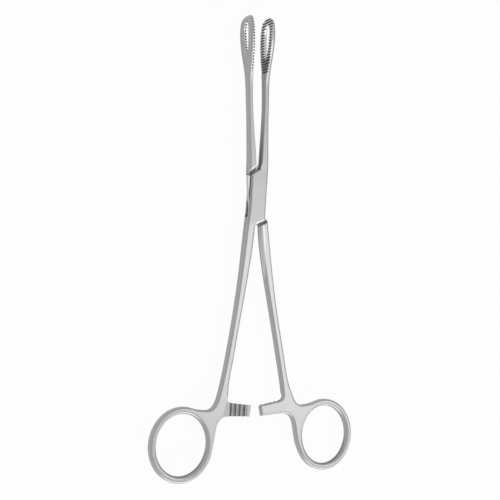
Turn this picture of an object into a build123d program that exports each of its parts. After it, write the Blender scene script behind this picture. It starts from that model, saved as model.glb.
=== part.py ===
from build123d import *
import os

# Sponge holding forceps with a box lock. All lengths in millimetres, angles in degrees.
# Both halves are drawn with the jaws closed, then turned about the lock pin to the rest opening.
# X runs across, Y runs towards the jaws, Z towards the viewer. The pin axis is X = Y = 0.

# Rest opening
box_half_turn = -3.65
tongue_half_turn = 2.95

# Box lock
box_thick = 5.0
box_half_width = 5.05
tongue_thick = 2.3
tongue_side_clearance = 0.04
pin_radius = 1.5
pin_clearance = 0.04
shoulder_gap = 0.3
shoulder_bevel = 0.9
web_start = 10.5
tongue_corner = 8.5
upper_left = (-box_half_width, 12.1)
upper_right = (0.25, 15.5)
lower_left = (-0.8, -14.75)
lower_right = (box_half_width, -12.0)

# Small sideways offsets between the two forgings, outwards on the box half, inwards on the other
shank_offset = 0.22
ring_offset = -0.3
jaw_offset = 0.4

# Handles
handle_thick = 3.8
edge_round = 1.2
ring_centre = (35.2, -128.2)
ring_hole_x = 14.05
ring_hole_y = 15.5
ring_band = 3.5
ring_hole_round = 1.5

# Ratchet
arm_end_low = 3.5
arm_end_top = 4.1
arm_tip_round = 1.5
step_top = (-11.4, -104.0)
step_low = (-13.55, -116.0)
ratchet_gap = 0.05
tooth_pitch = 2.62
tooth_depth = 1.0
tooth_rise = 0.5
tooth_count = 4
first_tooth = -8.5
land_slope = 0.13

# Jaws
jaw_length = 96.6
jaw_shank_thick = 3.8
jaw_half_breadth = 6.4
jaw_face = 0.04
jaw_inner_round = 0.45
serrated_length = 30.0
serration_pitch = 1.5
serration_depth = 0.8
serration_land = 0.2
dome_depth = 3.3
window_half_width = 2.9
window_length = 18.6
window_blunt_end = 5.0
window_to_tip = 3.3
window_round = 0.8


def through_z(face, low, high):
    return extrude(Pos(0, 0, low) * face, amount=high - low, dir=(0, 0, 1))


def through_x(face, low, high):
    return extrude(Pos(low, 0, 0) * face, amount=high - low, dir=(1, 0, 0))


# Where the gripping part of the jaws starts
grip_start = jaw_length - serrated_length - 1


# A place along the plain part of a jaw, from 0 at the top of the box to 1 where the gripping part starts
def up(part):
    return upper_right[1] + part * (grip_start - upper_right[1])


# Outline of the handle, drawn for the right hand side; side is 1 for the box half, -1 for the other
def handle_edges(side):
    shank = shank_offset * side
    centre = (ring_centre[0] + ring_offset * side, ring_centre[1])
    ring = EllipticalCenterArc(
        centre,
        ring_hole_x + ring_band,
        ring_hole_y + ring_band,
        start_angle=-156,
        arc_size=261,
    )
    outer = Spline(
        [
            (box_half_width, -1.0),
            (box_half_width + 0.2 + shank / 2, -9.0),
            (box_half_width + 0.75 + shank, -17.5),
            (6.9 + shank, -34.5),
            (8.37 + shank, -51.5),
            (10.23 + shank, -68.0),
            (12.55 + shank, -85.0),
            (15.45 + shank, -101.5),
            (16.75, -105.6),
            (18.5, -109.0),
            (20.8, -110.6),
            (24.0, -110.8),
            ring @ 1,
        ],
        tangents=[(0, -1), -1 * (ring % 1)],
    )
    stem = Spline(
        [ring @ 0, (17.6, -130.5), (16.75, -124.5), (15.9, -119.0), (13.9, -115.5), (11.2, -114.25), (7.5, -114.0)],
        tangents=[-1 * (ring % 0), (-1, 0)],
    )
    arm_low = Line((7.5, -114.0), (-arm_end_low, -114.0))
    if side < 0:
        arm_side = Line(arm_low @ 1, (-arm_end_top, -108.2 - arm_tip_round))
        arm_tip = [arm_side, TangentArc(arm_side @ 1, (-arm_end_top + arm_tip_round, -108.1), tangent=arm_side % 1)]
    else:
        arm_tip = [Line(arm_low @ 1, (-arm_end_top, -108.2))]
    arm_top = Line(arm_tip[-1] @ 1, (6.9, -107.2))
    inner = Spline(
        [
            (10.3, -104.3),
            (10.15 + shank, -99.5),
            (8.4 + shank, -85.0),
            (6.23 + shank, -68.0),
            (4.02 + shank, -51.5),
            (1.95 + shank, -34.5),
            (-lower_left[0], lower_left[1]),
        ]
    )
    corner = Bezier(arm_top @ 1, (10.3, -106.9), inner @ 0)
    return outer, ring, stem, arm_low, *arm_tip, arm_top, corner, inner


def mirrored(edges):
    return [mirror(e, about=Plane.YZ).edge() for e in edges]


# Outline of a jaw, drawn for the right hand side, from the box up to the tip
def jaw_edges(side):
    def across(x, part):
        return x + jaw_offset * side * min(1, (1 - part) * 1.26), up(part)

    start = (jaw_face, grip_start)
    face_line = Line((jaw_face, jaw_length), start)
    inner = Spline(
        [start, across(0.4, 0.81), across(0.76, 0.6), across(0.75, 0.41), across(0.62, 0.17), across(0.6, 0.05)],
        tangents=[(0, -1), (-0.02, -1)],
    )
    outer = Spline(
        [
            (box_half_width, 6.0),
            (box_half_width - 0.05 + jaw_offset * side * 0.4, 12.5),
            across(4.77, 0.07),
            across(4.37, 0.25),
            across(3.87, 0.5),
            across(3.46, 0.76),
            (3.06, up(0.96)),
            (2.75, jaw_length - 19),
            (2.6, jaw_length - 10),
            (2.2, jaw_length - 4.5),
            (1.25, jaw_length - 0.85),
            (jaw_face, jaw_length),
        ],
        tangents=[(0, 1), (-1, 0.05)],
    )
    return face_line, inner, outer


# Half thickness along the instrument, as a side view in the YZ plane
def side_profile():
    h = handle_thick / 2
    b = box_thick / 2
    j = jaw_shank_thick / 2
    front = Spline(
        [
            (-150, h),
            (-110, h),
            (-90, h + 0.02),
            (-60, h + 0.12),
            (-35, h + 0.33),
            (-15, b),
            (0, b),
            (12, b),
            (up(0.09), b - 0.2),
            (up(0.33), j + 0.15),
            (up(0.6), j),
            (up(0.82), j + 0.1),
            (up(0.96), j + 0.45),
            (jaw_length - 26, jaw_half_breadth - 2.65),
            (jaw_length - 19, jaw_half_breadth - 0.95),
            (jaw_length - 11, jaw_half_breadth),
            (jaw_length - 5.5, jaw_half_breadth - 0.25),
            (jaw_length - 1.5, jaw_half_breadth - 1.6),
            (jaw_length + 0.1, 0),
        ],
        tangents=[(1, 0), (0, -1)],
    )
    back = mirror(front, about=Plane.XZ).edge()
    end = Line((-150, -h), (-150, h))
    flat = make_face([front, back, end])
    return through_x(Plane.YZ * flat, -80, 80)


# What is taken off a jaw so that its outer side is domed towards the rims
def beyond_dome():
    outside = Pos(4, 0) * Rectangle(8, 20) - Ellipse(dome_depth, jaw_half_breadth + 0.1)
    return extrude(Pos(0, grip_start - 5, 0) * Plane.XZ * outside, amount=jaw_length, dir=(0, 1, 0))


def plate(points, low, high):
    return through_z(make_face(Polyline(*points, close=True)), low, high)


# The whole outline of one half as forged: right jaw, box, left shank, arm and ring
def forged_half(side):
    face_line, jaw_inner, jaw_outer = jaw_edges(side)
    jaw_crotch = jaw_inner @ 1
    outline = [
        face_line,
        jaw_inner,
        Line(jaw_crotch, upper_right),
        Line(upper_right, upper_left),
        Line(upper_left, (-box_half_width, -1.0)),
        *mirrored(handle_edges(side)),
        Line(lower_left, lower_right),
        Line(lower_right, jaw_outer @ 0),
        jaw_outer,
    ]
    blank = (through_z(make_face(outline), -12, 12) & side_profile()).solid()

    def touches(edge, point):
        ends = (edge @ 0, edge @ 1)
        x, y = tuple(point)[:2]
        return any(abs(e.X - x) < 0.02 and abs(e.Y - y) < 0.02 for e in ends)

    rim = blank.edges().filter_by(lambda e: (e @ 0).Z * (e @ 1).Z > 1.0)
    sharp = rim.filter_by(lambda e: touches(e, upper_right) or (touches(e, lower_left) and touches(e, lower_right)))
    gripping = rim.filter_by(lambda e: abs((e @ 0).X - jaw_face) < 0.01 and abs((e @ 1).X - jaw_face) < 0.01)
    inside = rim.filter_by(lambda e: touches(e, jaw_crotch) and not touches(e, upper_right))
    main = [e for e in rim if e not in sharp + gripping + inside]
    body = blank.fillet(edge_round, main)
    inside = body.edges().filter_by(lambda e: (e @ 0).Z * (e @ 1).Z > 1.0 and touches(e, jaw_crotch))
    inside = inside.filter_by(lambda e: not touches(e, upper_right))
    body = body.fillet(jaw_inner_round, inside)
    return (body - beyond_dome()).solid()


# Finger ring hole with its rounded inside
def with_ring_hole(body, side):
    hole = Pos(-ring_centre[0] - ring_offset * side, ring_centre[1]) * Ellipse(ring_hole_x, ring_hole_y)
    body = (body - through_z(hole, -5, 5)).solid()
    rims = body.edges().filter_by(
        lambda e: abs((e @ 0).Z) > 1.5 and abs((e @ 0.5).X + ring_centre[0]) < ring_hole_x + 0.1
        and abs(e.length - hole.edge().length) < 0.5
    )
    return body.fillet(ring_hole_round, rims)


# Window of the oval jaw, cut through it sideways, rounded where it leaves the outer side
def with_window(body):
    centre = jaw_length - window_to_tip - window_length / 2
    widest = (jaw_length - window_to_tip - window_blunt_end, 0)
    blunt = EllipticalCenterArc(widest, window_blunt_end, window_half_width, start_angle=-90, arc_size=180)
    long_end = window_length - window_blunt_end
    slim = EllipticalCenterArc(widest, long_end, window_half_width, start_angle=90, arc_size=180)
    outline = make_face([blunt, slim])
    body = (body - through_x(Plane.YZ * outline, -1, 6)).solid()
    mouth = body.edges().filter_by(
        lambda e: abs((e @ 0).Y - centre) < window_length / 2 + 0.2
        and min((e @ 0).X, (e @ 1).X) > 1.5
        and abs((e @ 0).Z) < window_half_width + 0.1
        and abs((e @ 0.5).Z) < window_half_width + 0.1
    )
    return body.fillet(window_round, mouth)


# Cross serration of the gripping face
def with_serration(body):
    half = (serration_pitch - serration_land) / 2
    x = jaw_face
    groove = Polyline((x - 1, -half - 1), (x - 1, half + 1), (x, half), (x + serration_depth, 0), (x, -half), close=True)
    cutter = through_z(make_face(groove), -8, 8)
    count = int(serrated_length / serration_pitch)
    first = jaw_length - serrated_length + serration_pitch / 2
    grooves = [Pos(0, first + serration_pitch * i, 0) * cutter for i in range(count)]
    return (body - grooves).solid()


# What is taken off the ratchet arm of the box half, down to its saw teeth
def above_teeth():
    land = first_tooth - 12
    points = [(land, 12 * land_slope - ratchet_gap), (first_tooth, -ratchet_gap)]
    for i in range(tooth_count):
        x = first_tooth + (i + 1) * tooth_pitch
        points.append((x - tooth_rise, -ratchet_gap - tooth_depth))
        points.append((x, -ratchet_gap))
    points += [(8, -ratchet_gap), (8, 6), (land, 6)]
    profile = make_face(Plane.XZ * Polyline(*points, close=True))
    above = extrude(Pos(0, -100, 0) * profile, amount=20, dir=(0, -1, 0))
    return above & plate([step_top, step_low, (10, -118), (10, -103)], -6, 6)


# A line moved sideways to its left by a gap, given as two points far along it
def beside(start, end, gap, reach=12):
    dx = end[0] - start[0]
    dy = end[1] - start[1]
    length = (dx * dx + dy * dy) ** 0.5
    ux = dx / length
    uy = dy / length
    x = start[0] - uy * gap
    y = start[1] + ux * gap
    return (x - reach * ux, y - reach * uy), (x + reach * ux, y + reach * uy)


# Bevel along a shoulder, front and back. The corner lies at a gap to the left of the line from start
# to end, and comes off what is to the left of it where side is 1, or to the right where side is -1
def bevel(start, end, gap, side):
    low, _ = beside(start, end, gap, 0)
    along = (Vector(*end) - Vector(*start)).normalized()
    across = Vector(-along.Y, along.X) * side
    plane = Plane(origin=(low[0] - 9 * along.X, low[1] - 9 * along.Y, 0), x_dir=across, z_dir=across.cross(Vector(0, 0, 1)))
    size = shoulder_bevel
    top = box_thick / 2
    corner = Polyline((-1, top - size - 1), (size + 1, top + 1), (-1, top + 1), close=True)
    length = 9 + (Vector(*end) - Vector(*start)).length
    front = extrude(plane * make_face(corner), amount=length, dir=along)
    return [front, mirror(front, about=Plane.XY)]


# Slot through the box, open at upper left and lower right, the same when turned half round
def slot():
    half = tongue_thick / 2 + tongue_side_clearance
    side = [(-9, -web_start), (-1.9, -web_start), (0.2, -15.4), (0.2, -20)]
    return plate(side + [(9, -20)] + [(-x, -y) for x, y in side] + [(-9, 20)], -half, half)


# What is taken off the tongue half to leave the thin tongue between its two shoulders
def around_tongue():
    upper_a, upper_b = beside(upper_left, upper_right, shoulder_gap)
    lower_a, lower_b = beside(lower_right, lower_left, shoulder_gap)
    region = [upper_a, upper_b, (14, 0), lower_a, lower_b, (-14, 0)]
    half = tongue_thick / 2
    front = plate(region, half, 6)
    back = plate(region, -6, -half)
    near_x = 0.2
    near_y = 15.4
    corner = tongue_corner
    right = plate([(1.5, corner + 1.4), (-near_x, near_y), (-near_x, 22), (9, 22), (9, corner), (5, corner)], -6, 6)
    left = plate(
        [(-1.5, -corner - 1.4), (0.72, -14.4), (0.72, -20), (-9, -20), (-9, -corner), (-5, -corner)], -6, 6
    )
    bevels = bevel(upper_left, upper_right, shoulder_gap, 1) + bevel(lower_right, lower_left, shoulder_gap, 1)
    return [front, back, right, left, *bevels]


def finished(side):
    return with_serration(with_window(with_ring_hole(forged_half(side), side)))


pin = Cylinder(pin_radius, box_thick)
shoulders = bevel(upper_left, upper_right, 0, -1) + bevel(lower_right, lower_left, 0, -1)
box_half = finished(1) - above_teeth() - slot() - shoulders - Cylinder(pin_radius, box_thick + 2)
box_half = box_half.solid()

other = finished(-1).mirror(Plane.YZ)
other_teeth = above_teeth().rotate(Axis.Y, 180)
tongue_half = other - other_teeth - around_tongue() - Cylinder(pin_radius + pin_clearance, box_thick + 2)
tongue_half = tongue_half.solid()

# Set at the rest opening and lifted so that the back of the box lies at Z = 0
lift = Pos(0, 0, box_thick / 2)
box_half = lift * box_half.rotate(Axis.Z, box_half_turn)
tongue_half = lift * tongue_half.rotate(Axis.Z, tongue_half_turn)
pin = lift * pin

os.makedirs("parts", exist_ok=True)
export_step(box_half, "parts/box_half.step")
export_step(tongue_half, "parts/tongue_half.step")
export_step(pin, "parts/lock_pin.step")
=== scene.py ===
import math

import bpy
from mathutils import Matrix, Vector


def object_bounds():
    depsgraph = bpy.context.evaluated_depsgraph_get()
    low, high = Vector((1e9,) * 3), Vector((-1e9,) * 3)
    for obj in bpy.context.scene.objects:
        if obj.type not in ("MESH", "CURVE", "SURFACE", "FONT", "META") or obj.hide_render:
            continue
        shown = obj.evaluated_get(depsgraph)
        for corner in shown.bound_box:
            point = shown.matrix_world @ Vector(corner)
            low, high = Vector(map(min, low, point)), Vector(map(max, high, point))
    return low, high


# Sponge holding forceps in satin steel, lying on a pale floor. Metres, in the instrument's own frame:
# X across, Y towards the jaws, Z up, with the lock pin's axis at X = Y = 0 and the back of the box at Z = 0.

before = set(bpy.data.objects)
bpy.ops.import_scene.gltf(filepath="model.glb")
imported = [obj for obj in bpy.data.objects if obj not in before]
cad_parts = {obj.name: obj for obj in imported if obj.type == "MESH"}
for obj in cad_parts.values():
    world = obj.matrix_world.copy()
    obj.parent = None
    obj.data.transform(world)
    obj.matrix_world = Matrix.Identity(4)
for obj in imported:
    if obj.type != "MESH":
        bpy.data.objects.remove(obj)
cad_low, cad_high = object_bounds()

MILLIMETRES_PER_METRE = 1000.0

# Sizes of the instrument, in millimetres
BOX_THICK = 5.0
SLOT_HALF_WIDTH = 1.19
UPPER_SHOULDER = ((-5.05, 12.1), (0.25, 15.5))
LOWER_SHOULDER = ((5.05, -12.0), (-0.8, -14.75))
GROOVE_START = 67.35
GROOVE_PITCH = 1.5
WINDOW_WIDEST_AT = 88.3
WINDOW_HALF_WIDTH = 2.9
WINDOW_BLUNT_END = 5.0
WINDOW_LONG_END = 13.6
TOOTH_START = -8.5
TOOTH_PITCH = 2.62
TOOTH_COUNT = 4
RING_CENTRE = (-35.2, -128.2)
RING_HOLE = (14.05, 15.5)

# Where the steel gets painted shade and painted highlights, and where the face of the box is darker, in
# millimetres of each half's own frame, before it is turned about the pin. A band is (from, to, softness of
# its ends) and an edge is (place, softness). "Out" counts from the plane where the jaws meet, towards the
# side of the half's own jaw, "wide" from that plane to either side, and "deep" from the middle of the box's
# thickness.

# Serration, where shade and highlights are painted, its crest as a share of the pitch
CREST = (0.25, 0.80, 0.07)
SERRATION_START = (GROOVE_START - 0.7, 0.1)
BY_WINDOW = (75.0, 1.5)
# Where the front rim beside the window gets a painted highlight, which also clears most of its painted shade
RIM_HIGHLIGHT_ALONG = (76.0, 91.5, 1.0)
RIM_HIGHLIGHT_ABOVE = (7.2, 0.3)
# How far out the painted shade on the tongue half's tooth tips reaches
TOOTH_TIPS_OUT = (1.1, 0.1)

# Wall of the window, which gets a painted highlight, its rim as a share of the window's size, squared
WINDOW_RIM = (1.08, 0.05)
WINDOW_WALL_OUT = (0.55, 0.1)

# Painted shade on the inner side of the jaw's shank above the box
CROTCH_START_OUT = (0.0, 0.05)
CROTCH_END_OUT = (1.4, 0.15)
CROTCH_ALONG = (15.0, 66.0, 0.6)
CROTCH_FADE = (30.0, 16.0)
CROTCH_HEIGHT = (1.3, 4.2, 0.15)

# Painted highlight on the inner side of the handle's shank below the box
FLANK_OUT = (-2.6, 0.0, 0.4)
FLANK_ALONG = (-42.0, -14.0, 5.0)
FLANK_ABOVE = (2.4, 0.3)

# Face of the box
PLATE_WIDE = (5.4, 0.5)
PLATE_ALONG = (-14.0, 14.0, 2.5)

# Joint, with painted shadows in its gaps, painted shade by the slot and painted highlights on edges and
# bevels;
# gaps and bevels are distances from the line of their shoulder. The tongue's edge has painted shade low
# down at its lower left and upper right corners, where x times y is above the value given.
JOINT_WIDE = (6.5, 0.5)
LEFT_PART_END = (0.4, 0.2)
RIGHT_PART_START = (-1.0, 0.2)
UPPER_GAP = (-0.05, 0.35, 0.04)
UPPER_BEVEL = (1.3, 2.0, 0.08)
LOWER_BEVEL = (-1.35, -0.5, 0.06)
BEVEL_DEEP = (1.55, 0.06)
TONGUE_DEEP = (SLOT_HALF_WIDTH + 0.05, 0.05)
SLOT_EDGE_DEEP = (SLOT_HALF_WIDTH - 0.05, SLOT_HALF_WIDTH + 0.62, 0.06)
SLOT_EDGE_ALONG = (-1.0, 13.5, 1.0)
SLOT_EDGE_END = (-4.0, 0.1)
BRIGHT_EDGE_ACROSS = (-4.7, -3.9, 0.05)
BRIGHT_EDGE_ALONG = (-11.0, -1.0, 1.0)
TONGUE_EDGE_WIDE = (3.8, 0.2)
TONGUE_EDGE_ALONG = (-11.0, 12.5, 0.4)
SHADED_CORNERS = (6.0, 5.0)
SHADED_BELOW = (1.9, 0.1)

# Ratchet, with painted shade on its face and teeth and painted highlights on the steep sides, these as a
# share of the pitch
RATCHET_ALONG = (-114.2, -106.8, 0.2)
RATCHET_HEIGHT = (-1.3, 0.75, 0.05)
TEETH_OUT = (TOOTH_START, TOOTH_START + TOOTH_COUNT * TOOTH_PITCH, 0.05)
STEEP_START = (0.65, 0.02)

# Painted shade on the inner edge of the finger ring, as shares of its hole
RING_RIM = (1.05, 0.03)
RING_LOWER_PART = (-0.2, 0.3)

# What differs between the halves: the turn about the pin in degrees, the side where the jaw lies (1 is
# right, -1 left), the strength of the painted highlight on the window's wall, and bands and edges as above
BOX_HALF = {
    "turn": -3.65,
    "side": 1,
    "grip_out": (-0.3, 0.95, 0.08),
    "window_light": 1.0,
    "lower_gap": (-0.05, 0.35, 0.04),
    "gap_deep": (1.7, 0.08),
    "ratchet_out": (-13.5, 4.5, 0.3),
}
TONGUE_HALF = {
    "turn": 2.95,
    "side": -1,
    "grip_out": (-0.3, 1.2, 0.08),
    "window_light": 0.35,
    "lower_gap": (-0.05, 0.55, 0.04),
    "gap_deep": (1.95, 0.08),
    "ratchet_out": (-13.5, 3.0, 0.3),
}

# Steel, and how much each feature darkens it: 0 is not at all and 1 is to black. Except for the face of the
# box, each darkening here is painted shade.
STEEL_GREY = 0.66
STEEL_ROUGHNESS = 0.27
STEEL_TINT = (0.985, 0.988, 1.0, 1)
GRAIN_SCALE = (6.0, 0.7, 6.0)
CLOUD_SCALE = 0.14
TONE_BASE = 0.95
CLOUD_TONE = 0.06
GRAIN_TONE = 0.04
CLOUD_ROUGHNESS = 0.04
GRAIN_ROUGHNESS = 0.03
GRAIN_STRENGTH = 0.10
GRAIN_HEIGHT = 0.00003
SERRATION_DARK = 0.86
PLATE_DARK = 0.14
SLOT_EDGE_DARK = 0.82
GAP_DARK = 0.85
RATCHET_DARK = 0.2
TEETH_DARK = 0.42
RING_DARK = 0.5
CROTCH_DARK = 0.2
CROTCH_DARKER_BY_BOX = 0.5
GROOVE_SHADE = 0.45
SHADE_AWAY_FROM_WINDOW = 0.35
RIM_HIGHLIGHT_CLEARS_SHADE = 0.9

# How much brighter the steel is where highlights are painted, in all and for single features, and how much
# rougher the steep sides of the teeth are
BRIGHTER = 0.7
RIM_HIGHLIGHT_STRENGTH = 0.6
FLANK_LIGHT = 0.8
BRIGHT_EDGE_LIGHT = 0.5
STEEP_ROUGHNESS = 0.6

# Camera
CAMERA_PLACE = (-0.25130, -0.04841, 0.44282)
CAMERA_RIGHT = (0.8716, 0.0028, 0.4901)
CAMERA_UP = (-0.0228, 0.9991, 0.0349)
CAMERA_LENS = 69.56
CAMERA_SENSOR = 36
CAMERA_CLIP = 0.01

# Light and floor. A soft box is its name, place, width, height and brightness, which is 1 for white. The
# power of white is in watts per square metre of soft box.
WORLD_LEVEL = 0.50
SOFT_BOXES = (
    ("near_box", (0.20, -1.00, 0.36), 1.1, 0.7, 1.0),
    ("right_box", (0.90, -0.60, 0.12), 0.7, 0.35, 1.35),
    ("top_box", (0.50, -0.06, 0.76), 0.5, 0.42, 0.88),
)
LIGHT_AIM = (0, -0.03, 0)
POWER_OF_WHITE = 3.1416
FLOOR_WHITE = 0.90
FLOOR_HALF_SIZE = 1.6
FLOOR_GAP = 0.0001
FLOOR_SEEN = 0.96
FLOOR_MIRRORED = 0.15


class Socket:
    """A shader socket that takes part in Python expressions, each operator adding a Math node."""

    def __init__(self, tree, output):
        self.tree = tree
        self.output = output

    def maths(self, operation, *values):
        return self.tree.node("ShaderNodeMath", {"operation": operation}, values)

    def __add__(self, other):
        return self.maths("ADD", self, other)

    def __radd__(self, other):
        return self.maths("ADD", other, self)

    def __sub__(self, other):
        return self.maths("SUBTRACT", self, other)

    def __rsub__(self, other):
        return self.maths("SUBTRACT", other, self)

    def __mul__(self, other):
        return self.maths("MULTIPLY", self, other)

    def __rmul__(self, other):
        return self.maths("MULTIPLY", other, self)

    def __truediv__(self, other):
        return self.maths("DIVIDE", self, other)


class Shader:
    """The node tree of one material or of the world."""

    def __init__(self, owner):
        owner.use_nodes = True
        self.nodes = owner.node_tree.nodes
        self.links = owner.node_tree.links
        self.nodes.clear()

    def node(self, kind, settings=(), values=(), out=0):
        """A node with its settings and socket values; out may be a list for more than one output."""
        made = self.nodes.new(kind)
        for name, value in dict(settings).items():
            setattr(made, name, value)
        pairs = values.items() if isinstance(values, dict) else enumerate(values)
        for name, value in pairs:
            if isinstance(value, Socket):
                self.links.new(value.output, made.inputs[name])
            else:
                made.inputs[name].default_value = value
        if isinstance(out, (list, tuple)):
            return [Socket(self, made.outputs[name]) for name in out]
        return Socket(self, made.outputs[out]) if made.outputs else made

    def past(self, value, edge, soft):
        """0 below an edge and 1 above it, with a soft step between."""
        limits = [value, edge - soft, edge + soft]
        return self.node("ShaderNodeMapRange", {"interpolation_type": "SMOOTHSTEP"}, limits)

    def between(self, value, low, high, soft):
        """1 from low to high and 0 outside, with soft steps."""
        return self.past(value, low, soft) * (1 - self.past(value, high, soft))


def from_line(x, y, start, end):
    """Distance of (x, y) from the line through two points, positive to its left."""
    dx, dy = end[0] - start[0], end[1] - start[1]
    length = math.hypot(dx, dy)
    return y * (dx / length) - x * (dy / length) + (start[0] * dy - start[1] * dx) / length


def serration(shader, half, out, y, z):
    """Cross serration of the gripping face: its painted shade, its painted highlights and the painted
    highlight on its rim.

    The box half has painted shade in its grooves and painted highlights along their crests, and its front rim
    beside the window has a painted highlight. The tongue half has painted shade on the tips of its teeth and
    painted highlights in its grooves.
    """
    phase = shader.node("ShaderNodeMath", {"operation": "FRACT"}, [(y - GROOVE_START) / GROOVE_PITCH])
    crest = shader.between(phase, *CREST)
    serrated = shader.between(out, *half["grip_out"]) * shader.past(y, *SERRATION_START)
    by_window = shader.past(y, *BY_WINDOW)
    if half["side"] < 0:
        # Tongue half: painted shade on the tips of its teeth and painted highlights in its grooves
        tips = serrated * crest * (1 - shader.past(out, *TOOTH_TIPS_OUT))
        return tips, serrated * (1 - crest) * by_window, 0.0
    # Box half: painted highlight on the front rim beside the window, painted shade in the grooves, fuller by
    # the window, and painted highlights along the crests
    painted_rim_highlight = serrated * shader.between(y, *RIM_HIGHLIGHT_ALONG) * shader.past(z, *RIM_HIGHLIGHT_ABOVE)
    grooves = (1 - crest) * (GROOVE_SHADE + by_window * (1 - GROOVE_SHADE))
    shaded = serrated * (grooves + (1 - by_window) * SHADE_AWAY_FROM_WINDOW) * (1 - painted_rim_highlight * RIM_HIGHLIGHT_CLEARS_SHADE)
    return shaded, serrated * crest * by_window, painted_rim_highlight


def window_wall(shader, half, out, y, deep):
    """Painted highlight on the wall of the egg-shaped window, each of its ends half an ellipse."""
    ahead = (y - WINDOW_WIDEST_AT) / WINDOW_BLUNT_END
    behind = (WINDOW_WIDEST_AT - y) / WINDOW_LONG_END
    lengthwise = shader.node("ShaderNodeMath", {"operation": "MAXIMUM"}, [ahead, behind])
    breadthwise = deep / WINDOW_HALF_WIDTH
    inside = 1 - shader.past(lengthwise * lengthwise + breadthwise * breadthwise, *WINDOW_RIM)
    return inside * shader.past(out, *WINDOW_WALL_OUT) * half["window_light"]


def crotch(shader, out, y, z):
    """Painted shade on the inner side of the box half's jaw shank, darkest just above the box."""
    face = (1 - shader.past(out, *CROTCH_END_OUT)) * shader.between(y, *CROTCH_ALONG)
    face = face * shader.past(out, *CROTCH_START_OUT)
    dark = CROTCH_DARK + CROTCH_DARKER_BY_BOX * (1 - shader.past(y, *CROTCH_FADE))
    return face * dark * shader.between(z, *CROTCH_HEIGHT)


def lit_flank(shader, out, y, z):
    """Painted highlight on the inner side of the tongue half's handle shank, just below the box."""
    return shader.between(out, *FLANK_OUT) * shader.between(y, *FLANK_ALONG) * shader.past(z, *FLANK_ABOVE)


def joint(shader, half, x, y, z, deep, wide):
    """Box lock: painted shadows in the gaps at its two shoulders, painted shade by the slot, and painted
    highlights on edges and bevels.
    """
    upper = from_line(x, y, *UPPER_SHOULDER)
    lower = from_line(x, y, *LOWER_SHOULDER)
    narrow = 1 - shader.past(wide, *JOINT_WIDE)
    left_part = 1 - shader.past(x, *LEFT_PART_END)
    right_part = shader.past(x, *RIGHT_PART_START)
    # Painted shadows in the gaps at the two shoulders
    gap = shader.between(upper, *UPPER_GAP) * left_part
    gap = gap + shader.between(lower, *half["lower_gap"]) * right_part
    gap = gap * (1 - shader.past(deep, *half["gap_deep"])) * narrow
    thin = 1 - shader.past(deep, *TONGUE_DEEP)
    if half["side"] > 0:
        # Box half: painted shade along the slot's edge, and painted highlights on an edge and on the lower
        # bevel
        slot_edge = shader.between(deep, *SLOT_EDGE_DEEP) * shader.between(y, *SLOT_EDGE_ALONG)
        slot_edge = slot_edge * (1 - shader.past(x, *SLOT_EDGE_END))
        edge = thin * shader.between(x, *BRIGHT_EDGE_ACROSS) * shader.between(y, *BRIGHT_EDGE_ALONG)
        edge = edge * BRIGHT_EDGE_LIGHT
        bevel = shader.between(lower, *LOWER_BEVEL) * right_part
    else:
        # Tongue half: painted highlight on its edge, painted shade on that edge at two low corners, and a
        # painted highlight on the upper bevel
        edge = thin * shader.past(wide, *TONGUE_EDGE_WIDE) * shader.between(y, *TONGUE_EDGE_ALONG)
        slot_edge = edge * shader.past(x * y, *SHADED_CORNERS) * (1 - shader.past(z, *SHADED_BELOW))
        bevel = shader.between(upper, *UPPER_BEVEL) * left_part
    return gap, slot_edge, edge, bevel * shader.past(deep, *BEVEL_DEEP) * narrow


def ratchet_arm(shader, half, out, y, z):
    """Ratchet: painted shade on its face and more on the teeth on it, and painted highlights on their steep
    sides, which are also rough.
    """
    tooth = shader.node("ShaderNodeMath", {"operation": "FRACT"}, [(out - TOOTH_START) / TOOTH_PITCH])
    above = z * half["side"] - BOX_THICK / 2 * half["side"]
    face = shader.between(out, *half["ratchet_out"]) * shader.between(y, *RATCHET_ALONG)
    face = face * shader.between(above, *RATCHET_HEIGHT)
    teeth = face * shader.between(out, *TEETH_OUT)
    return face, teeth, teeth * shader.past(tooth, *STEEP_START)


def ring_edge(shader, out, y):
    """Painted shade on the lower inner edge of the finger ring."""
    ring_x = (out - RING_CENTRE[0]) / RING_HOLE[0]
    ring_y = (y - RING_CENTRE[1]) / RING_HOLE[1]
    rim = 1 - shader.past(ring_x * ring_x + ring_y * ring_y, *RING_RIM)
    return rim * (1 - shader.past(ring_y, *RING_LOWER_PART))


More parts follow.
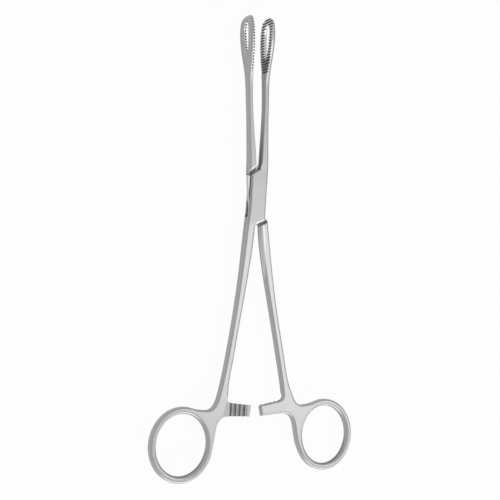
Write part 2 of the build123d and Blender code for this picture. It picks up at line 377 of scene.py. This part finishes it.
def satin_steel(name, half):
    """Satin steel of one half, with shade and highlights painted on where its features ask for them, and a
    darker face of the box.
    """
    material = bpy.data.materials.new(name)
    shader = Shader(material)
    place = shader.node("ShaderNodeTexCoord", out="Object")
    unturn = {"Vector": place, "Angle": math.radians(-half["turn"])}
    turned = shader.node("ShaderNodeVectorRotate", {"rotation_type": "Z_AXIS"}, unturn)
    enlarged = {0: turned, "Scale": MILLIMETRES_PER_METRE}
    local = shader.node("ShaderNodeVectorMath", {"operation": "SCALE"}, enlarged)
    x, y, z = shader.node("ShaderNodeSeparateXYZ", (), [local], out=[0, 1, 2])
    out = x * half["side"]
    deep = shader.node("ShaderNodeMath", {"operation": "ABSOLUTE"}, [z - BOX_THICK / 2])
    wide = shader.node("ShaderNodeMath", {"operation": "ABSOLUTE"}, [x])

    along = shader.node("ShaderNodeMapping", {}, {"Vector": local, "Scale": GRAIN_SCALE})
    grain = shader.node("ShaderNodeTexNoise", {}, {"Vector": along, "Scale": 1.0, "Detail": 3.0})
    clouds = shader.node("ShaderNodeTexNoise", {}, {"Vector": local, "Scale": CLOUD_SCALE, "Detail": 2.0})

    # Painted shade and painted highlights of the serration
    shaded, painted_serration_highlight, painted_rim_highlight = serration(shader, half, out, y, z)
    # Painted highlight on the window's wall
    window = window_wall(shader, half, out, y, deep)
    # Painted shade on the inner side of the box half's jaw shank
    inner = crotch(shader, out, y, z) if half["side"] > 0 else 0.0
    # Painted highlight on the inner side of the tongue half's handle shank
    flank = lit_flank(shader, out, y, z) if half["side"] < 0 else 0.0
    plate = (1 - shader.past(wide, *PLATE_WIDE)) * shader.between(y, *PLATE_ALONG)
    # Painted shadows and painted shade of the box lock, and painted highlights on its edges and bevels
    gap, slot_edge, edge, bevel = joint(shader, half, x, y, z, deep, wide)
    # Painted shade on the ratchet's face and teeth, and painted highlights on the teeth's steep sides
    ratchet, teeth, steep = ratchet_arm(shader, half, out, y, z)
    # Painted shade on the lower inner edge of the finger ring
    ring = ring_edge(shader, out, y)

    # Painted highlights brighten the steel, and painted shade and the darker face of the box darken it
    light = painted_serration_highlight + painted_rim_highlight * RIM_HIGHLIGHT_STRENGTH + window + bevel + edge + steep + flank * FLANK_LIGHT
    tone = STEEL_GREY * (TONE_BASE + clouds * CLOUD_TONE + grain * GRAIN_TONE)
    tone = tone * (1 - shaded * SERRATION_DARK) * (1 - inner) * (1 - plate * PLATE_DARK)
    tone = tone * (1 - slot_edge * SLOT_EDGE_DARK) * (1 - gap * GAP_DARK)
    tone = tone * (1 - ratchet * RATCHET_DARK - (teeth - steep) * TEETH_DARK) * (1 - ring * RING_DARK)
    tone = tone * (1 + light * BRIGHTER)
    colours = {0: tone, 6: (0, 0, 0, 1), 7: STEEL_TINT}
    tint = shader.node("ShaderNodeMix", {"data_type": "RGBA"}, colours, out=2)
    relief = {"Strength": GRAIN_STRENGTH, "Distance": GRAIN_HEIGHT, "Height": grain}
    bump = shader.node("ShaderNodeBump", {}, relief)
    rough = STEEL_ROUGHNESS + clouds * CLOUD_ROUGHNESS + grain * GRAIN_ROUGHNESS + steep * STEEP_ROUGHNESS
    finish = {"Base Color": tint, "Metallic": 1.0, "Roughness": rough, "Normal": bump}
    surface = shader.node("ShaderNodeBsdfPrincipled", {}, finish)
    shader.node("ShaderNodeOutputMaterial", {}, {"Surface": surface})
    return material


def soft_box(name, place, width, height, brightness):
    """A soft box of light that faces the middle of the instrument."""
    lamp = bpy.data.lights.new(name, "AREA")
    lamp.shape = "RECTANGLE"
    lamp.size = width
    lamp.size_y = height
    lamp.energy = brightness * POWER_OF_WHITE * width * height
    holder = bpy.data.objects.new(name, lamp)
    bpy.context.scene.collection.objects.link(holder)
    away = Vector(place) - Vector(LIGHT_AIM)
    holder.location = place
    holder.rotation_euler = away.to_track_quat("Z", "Y").to_euler()


def floor_paint():
    """Nearly white to the camera, a little so to reflections and otherwise matt, so that a shadow stays."""
    paint = bpy.data.materials.new("floor_paint")
    shader = Shader(paint)
    seen = shader.node("ShaderNodeLightPath", out="Is Camera Ray")
    mirrored = shader.node("ShaderNodeLightPath", out="Is Glossy Ray")
    matt = shader.node("ShaderNodeBsdfDiffuse", {}, {"Color": (FLOOR_WHITE, FLOOR_WHITE, FLOOR_WHITE, 1)})
    glow = shader.node("ShaderNodeEmission", {}, {"Color": (1, 1, 1, 1), "Strength": 1.0})
    share = seen * FLOOR_SEEN + mirrored * FLOOR_MIRRORED
    cover = shader.node("ShaderNodeMixShader", {}, {0: share, 1: matt, 2: glow})
    shader.node("ShaderNodeOutputMaterial", {}, {"Surface": cover})
    return paint


box_steel = satin_steel("box_half_steel", BOX_HALF)
tongue_steel = satin_steel("tongue_half_steel", TONGUE_HALF)
for name, steel in (("box_half", box_steel), ("lock_pin", box_steel), ("tongue_half", tongue_steel)):
    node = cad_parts[name]
    node.data.materials.clear()
    node.data.materials.append(steel)

# Floor, just below the instrument
mesh = bpy.data.meshes.new("floor")
half_size = FLOOR_HALF_SIZE
ground = cad_low[2] - FLOOR_GAP
corners = [(-half_size, -half_size), (half_size, -half_size), (half_size, half_size), (-half_size, half_size)]
mesh.from_pydata([(x, y, ground) for x, y in corners], [], [(0, 1, 2, 3)])
floor = bpy.data.objects.new("floor", mesh)
bpy.context.scene.collection.objects.link(floor)
mesh.materials.append(floor_paint())

# Light, with a world that is white to the camera alone
world = bpy.data.worlds.new("studio")
bpy.context.scene.world = world
shader = Shader(world)
seen = shader.node("ShaderNodeLightPath", out="Is Camera Ray")
strength = WORLD_LEVEL + seen * (1 - WORLD_LEVEL)
back = shader.node("ShaderNodeBackground", {}, {"Color": (1, 1, 1, 1), "Strength": strength})
shader.node("ShaderNodeOutputWorld", {}, {"Surface": back})
for box in SOFT_BOXES:
    soft_box(*box)

# Camera
right = Vector(CAMERA_RIGHT).normalized()
up = (Vector(CAMERA_UP) - right * right.dot(Vector(CAMERA_UP))).normalized()
lens = bpy.data.cameras.new("camera")
lens.lens = CAMERA_LENS
lens.sensor_width = CAMERA_SENSOR
lens.clip_start = CAMERA_CLIP
camera = bpy.data.objects.new("camera", lens)
bpy.context.scene.collection.objects.link(camera)
facing = Matrix((right, up, right.cross(up))).transposed().to_4x4()
camera.matrix_world = Matrix.Translation(CAMERA_PLACE) @ facing
bpy.context.scene.camera = camera

bpy.context.scene.view_settings.view_transform = "Standard"
